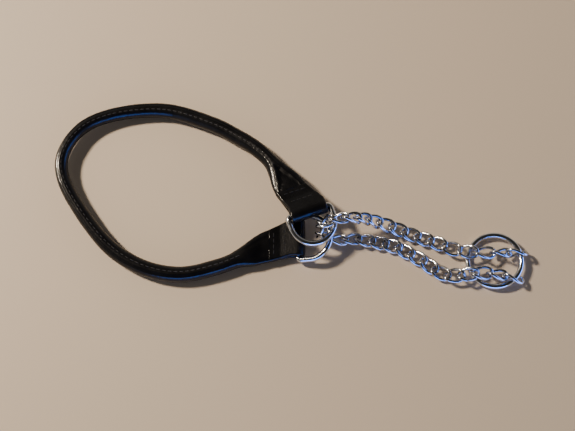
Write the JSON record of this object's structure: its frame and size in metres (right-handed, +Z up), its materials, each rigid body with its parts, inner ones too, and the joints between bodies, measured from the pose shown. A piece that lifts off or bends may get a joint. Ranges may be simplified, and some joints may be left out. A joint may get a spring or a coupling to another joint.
{
  "type": "half-check dog collar",
  "caption": "Rolled leather loop with two flat folded ends, each with a D-ring, closed by a twisted curb chain through both D-rings and a round lead ring.",
  "frame": {"origin": "on the surface that the collar lies on, under the middle of the whole collar's box", "axes": "+X from the leather loop towards the lead ring, +Y towards the flat end that lies on top, +Z up"},
  "size_m": [0.2478, 0.1022, 0.022],
  "materials": {
    "black_leather": "glossy black",
    "filler_cord": "natural twisted cotton",
    "seam_thread": "waxed thread",
    "d_ring_metal": "polished plate",
    "lead_ring_metal": "polished plate",
    "chain_metal": "polished plate"
  },
  "bodies": {
    "collar": {"leather_roll": "black_leather", "core_cord": "filler_cord", "seam_thread": "seam_thread", "tab_upper": "black_leather", "tab_lower": "black_leather", "tab_thread_upper": "seam_thread", "tab_thread_lower": "seam_thread"},
    "upper_d_ring": {"d_ring_upper": "d_ring_metal"},
    "lower_d_ring": {"d_ring_lower": "d_ring_metal"},
    "chain_link_01": {"chain_link_01": "chain_metal"},
    "chain_link_02": {"chain_link_02": "chain_metal"},
    "chain_link_03": {"chain_link_03": "chain_metal"},
    "chain_link_04": {"chain_link_04": "chain_metal"},
    "chain_link_05": {"chain_link_05": "chain_metal"},
    "chain_link_06": {"chain_link_06": "chain_metal"},
    "chain_link_07": {"chain_link_07": "chain_metal"},
    "chain_link_08": {"chain_link_08": "chain_metal"},
    "chain_link_09": {"chain_link_09": "chain_metal"},
    "chain_link_10": {"chain_link_10": "chain_metal"},
    "chain_link_11": {"chain_link_11": "chain_metal"},
    "chain_link_12": {"chain_link_12": "chain_metal"},
    "chain_link_13": {"chain_link_13": "chain_metal"},
    "chain_link_14": {"chain_link_14": "chain_metal"},
    "chain_link_15": {"chain_link_15": "chain_metal"},
    "chain_link_16": {"chain_link_16": "chain_metal"},
    "chain_link_17": {"chain_link_17": "chain_metal"},
    "chain_link_18": {"chain_link_18": "chain_metal"},
    "chain_link_19": {"chain_link_19": "chain_metal"},
    "chain_link_20": {"chain_link_20": "chain_metal"},
    "chain_link_21": {"chain_link_21": "chain_metal"},
    "chain_link_22": {"chain_link_22": "chain_metal"},
    "chain_link_23": {"chain_link_23": "chain_metal"},
    "chain_link_24": {"chain_link_24": "chain_metal"},
    "chain_link_25": {"chain_link_25": "chain_metal"},
    "chain_link_26": {"chain_link_26": "chain_metal"},
    "chain_link_27": {"chain_link_27": "chain_metal"},
    "chain_link_28": {"chain_link_28": "chain_metal"},
    "chain_link_29": {"chain_link_29": "chain_metal"},
    "chain_link_30": {"chain_link_30": "chain_metal"},
    "chain_link_31": {"chain_link_31": "chain_metal"},
    "lead_ring": {"lead_ring": "lead_ring_metal"}
  },
  "joints": [
    {"name": "upper_d_ring_swing", "type": "hinge", "parent": "collar", "child": "upper_d_ring", "pos_m": [0.01024, -0.01198, 0.01244], "axis": [-0.9455, -0.3256, 0], "range_deg": [-10, 3]},
    {"name": "lower_d_ring_swing", "type": "hinge", "parent": "collar", "child": "lower_d_ring", "pos_m": [0.00474, -0.02438, 0.00394], "axis": [0, -1, 0], "range_deg": [-8.61, 2.58]},
    {"name": "turn_swing", "type": "hinge", "parent": "upper_d_ring", "child": "chain_link_16", "pos_m": [0.02174, -0.02408, 0.01054], "axis": [0, -1, 0], "range_deg": [-12, 12]},
    {"name": "upper_joint_01", "type": "hinge", "parent": "chain_link_16", "child": "chain_link_15", "pos_m": [0.01614, -0.02007, 0.01425], "axis": [0, -0.3907, -0.9205], "range_deg": [-8, 8]},
    {"name": "lower_joint_01", "type": "hinge", "parent": "chain_link_16", "child": "chain_link_17", "pos_m": [0.01614, -0.02289, 0.00763], "axis": [0, -0.3907, -0.9205], "range_deg": [-8, 8]},
    {"name": "upper_joint_02", "type": "hinge", "parent": "chain_link_15", "child": "chain_link_14", "pos_m": [0.02158, -0.0182, 0.01859], "axis": [-0.0131, 0.3723, 0.928], "range_deg": [-14, 14]},
    {"name": "lower_joint_02", "type": "hinge", "parent": "chain_link_17", "child": "chain_link_18", "pos_m": [0.02179, -0.0243, 0.00339], "axis": [-0.0131, 0.3723, 0.928], "range_deg": [-14, 14]},
    {"name": "upper_joint_03", "type": "hinge", "parent": "chain_link_14", "child": "chain_link_13", "pos_m": [0.02874, -0.01757, 0.01896], "axis": [0.0126, -0.4212, -0.9069], "range_deg": [-14, 14]},
    {"name": "lower_joint_03", "type": "hinge", "parent": "chain_link_18", "child": "chain_link_19", "pos_m": [0.02896, -0.02492, 0.00314], "axis": [0.0126, -0.4212, -0.9069], "range_deg": [-14, 14]},
    {"name": "upper_joint_04", "type": "hinge", "parent": "chain_link_13", "child": "chain_link_12", "pos_m": [0.03545, -0.01711, 0.01638], "axis": [-0.0444, 0.4728, 0.8801], "range_deg": [-14, 14]},
    {"name": "lower_joint_04", "type": "hinge", "parent": "chain_link_19", "child": "chain_link_20", "pos_m": [0.03613, -0.02442, 0.00277], "axis": [-0.0444, 0.4728, 0.8801], "range_deg": [-14, 14]},
    {"name": "upper_joint_05", "type": "hinge", "parent": "chain_link_12", "child": "chain_link_11", "pos_m": [0.04131, -0.01649, 0.01225], "axis": [0.1458, -0.6688, -0.729], "range_deg": [-18, 5]},
    {"name": "lower_joint_05", "type": "hinge", "parent": "chain_link_20", "child": "chain_link_21", "pos_m": [0.04326, -0.02542, 0.00251], "axis": [0.1458, -0.6688, -0.729], "range_deg": [-18, 5]},
    {"name": "upper_joint_06", "type": "hinge", "parent": "chain_link_11", "child": "chain_link_10", "pos_m": [0.04711, -0.017, 0.00802], "axis": [-0.2659, 0.8453, 0.4634], "range_deg": [-5, 18]},
    {"name": "lower_joint_06", "type": "hinge", "parent": "chain_link_21", "child": "chain_link_22", "pos_m": [0.05027, -0.02704, 0.00251], "axis": [-0.2659, 0.8453, 0.4634], "range_deg": [-5, 18]},
    {"name": "upper_joint_07", "type": "hinge", "parent": "chain_link_10", "child": "chain_link_09", "pos_m": [0.05365, -0.01875, 0.00556], "axis": [0.3141, -0.9103, -0.2696], "range_deg": [-18, 14]},
    {"name": "lower_joint_07", "type": "hinge", "parent": "chain_link_22", "child": "chain_link_23", "pos_m": [0.05719, -0.02903, 0.00251], "axis": [0.3141, -0.9103, -0.2696], "range_deg": [-18, 14]},
    {"name": "upper_joint_08", "type": "hinge", "parent": "chain_link_09", "child": "chain_link_08", "pos_m": [0.06025, -0.02102, 0.00382], "axis": [-0.2625, 0.9589, 0.1076], "range_deg": [-18, 18]},
    {"name": "lower_joint_08", "type": "hinge", "parent": "chain_link_23", "child": "chain_link_24", "pos_m": [0.06343, -0.03263, 0.00251], "axis": [-0.2625, 0.9589, 0.1076], "range_deg": [-18, 18]},
    {"name": "upper_joint_09", "type": "hinge", "parent": "chain_link_08", "child": "chain_link_07", "pos_m": [0.06702, -0.02335, 0.00306], "axis": [0.2008, -0.9787, -0.0418], "range_deg": [-18, 18]},
    {"name": "lower_joint_09", "type": "hinge", "parent": "chain_link_24", "child": "chain_link_25", "pos_m": [0.06967, -0.03623, 0.00251], "axis": [0.2008, -0.9787, -0.0418], "range_deg": [-18, 18]},
    {"name": "upper_joint_10", "type": "hinge", "parent": "chain_link_07", "child": "chain_link_06", "pos_m": [0.07387, -0.02558, 0.00306], "axis": [-0.0968, 0.9946, 0.0363], "range_deg": [-18, 10]},
    {"name": "lower_joint_10", "type": "hinge", "parent": "chain_link_25", "child": "chain_link_26", "pos_m": [0.07534, -0.04066, 0.00251], "axis": [-0.0968, 0.9946, 0.0363], "range_deg": [-18, 10]},
    {"name": "upper_joint_11", "type": "hinge", "parent": "chain_link_06", "child": "chain_link_05", "pos_m": [0.08063, -0.02804, 0.00344], "axis": [0.0629, -0.998, 0.0047], "range_deg": [-10, 12]},
    {"name": "lower_joint_11", "type": "hinge", "parent": "chain_link_26", "child": "chain_link_27", "pos_m": [0.08163, -0.04401, 0.00352], "axis": [0.0629, -0.998, 0.0047], "range_deg": [-10, 12]},
    {"name": "upper_joint_12", "type": "hinge", "parent": "chain_link_05", "child": "chain_link_04", "pos_m": [0.08814, -0.03138, 0.0058], "axis": [-0.0189, 0.9997, -0.0138], "range_deg": [-18, 10]},
    {"name": "lower_joint_12", "type": "hinge", "parent": "chain_link_27", "child": "chain_link_28", "pos_m": [0.08838, -0.04448, 0.00598], "axis": [-0.0189, 0.9997, -0.0138], "range_deg": [-18, 10]},
    {"name": "upper_joint_13", "type": "hinge", "parent": "chain_link_04", "child": "chain_link_03", "pos_m": [0.09656, -0.03256, 0.00669], "axis": [-0.0967, -0.9951, -0.0192], "range_deg": [-10, 18]},
    {"name": "lower_joint_13", "type": "hinge", "parent": "chain_link_28", "child": "chain_link_29", "pos_m": [0.0955, -0.04348, 0.00648], "axis": [-0.0967, -0.9951, -0.0192], "range_deg": [-10, 18]},
    {"name": "upper_joint_14", "type": "hinge", "parent": "chain_link_03", "child": "chain_link_02", "pos_m": [0.1051, -0.03271, 0.00639], "axis": [0.2254, 0.973, 0.0499], "range_deg": [-18, 6]},
    {"name": "lower_joint_14", "type": "hinge", "parent": "chain_link_29", "child": "chain_link_30", "pos_m": [0.10266, -0.04323, 0.00585], "axis": [0.2254, 0.973, 0.0499], "range_deg": [-18, 6]},
    {"name": "upper_joint_15", "type": "hinge", "parent": "chain_link_02", "child": "chain_link_01", "pos_m": [0.1136, -0.03256, 0.0055], "axis": [-0.2141, -0.9733, -0.0829], "range_deg": [-1, 18]},
    {"name": "lower_joint_15", "type": "hinge", "parent": "chain_link_30", "child": "chain_link_31", "pos_m": [0.11106, -0.04411, 0.00452], "axis": [-0.2141, -0.9733, -0.0829], "range_deg": [-1, 18]},
    {"name": "lead_ring_swing", "type": "hinge", "parent": "chain_link_01", "child": "lead_ring", "pos_m": [0.119, -0.03085, 0.00447], "axis": [0.1843, 0.9829, 0.0025], "range_deg": [-100, 2]}
  ],
  "couplings": [
    {"joint": "lower_d_ring_swing", "follows": "upper_d_ring_swing", "ratio": 0.86},
    {"joint": "lower_joint_01", "follows": "upper_joint_01", "ratio": 1},
    {"joint": "lower_joint_02", "follows": "upper_joint_02", "ratio": 1},
    {"joint": "lower_joint_03", "follows": "upper_joint_03", "ratio": 1},
    {"joint": "lower_joint_04", "follows": "upper_joint_04", "ratio": 1},
    {"joint": "lower_joint_05", "follows": "upper_joint_05", "ratio": 1},
    {"joint": "lower_joint_06", "follows": "upper_joint_06", "ratio": 1},
    {"joint": "lower_joint_07", "follows": "upper_joint_07", "ratio": 1},
    {"joint": "lower_joint_08", "follows": "upper_joint_08", "ratio": 1},
    {"joint": "lower_joint_09", "follows": "upper_joint_09", "ratio": 1},
    {"joint": "lower_joint_10", "follows": "upper_joint_10", "ratio": 1},
    {"joint": "lower_joint_11", "follows": "upper_joint_11", "ratio": 1},
    {"joint": "lower_joint_12", "follows": "upper_joint_12", "ratio": 1},
    {"joint": "lower_joint_13", "follows": "upper_joint_13", "ratio": 1},
    {"joint": "lower_joint_14", "follows": "upper_joint_14", "ratio": 1},
    {"joint": "lower_joint_15", "follows": "upper_joint_15", "ratio": 1}
  ]
}
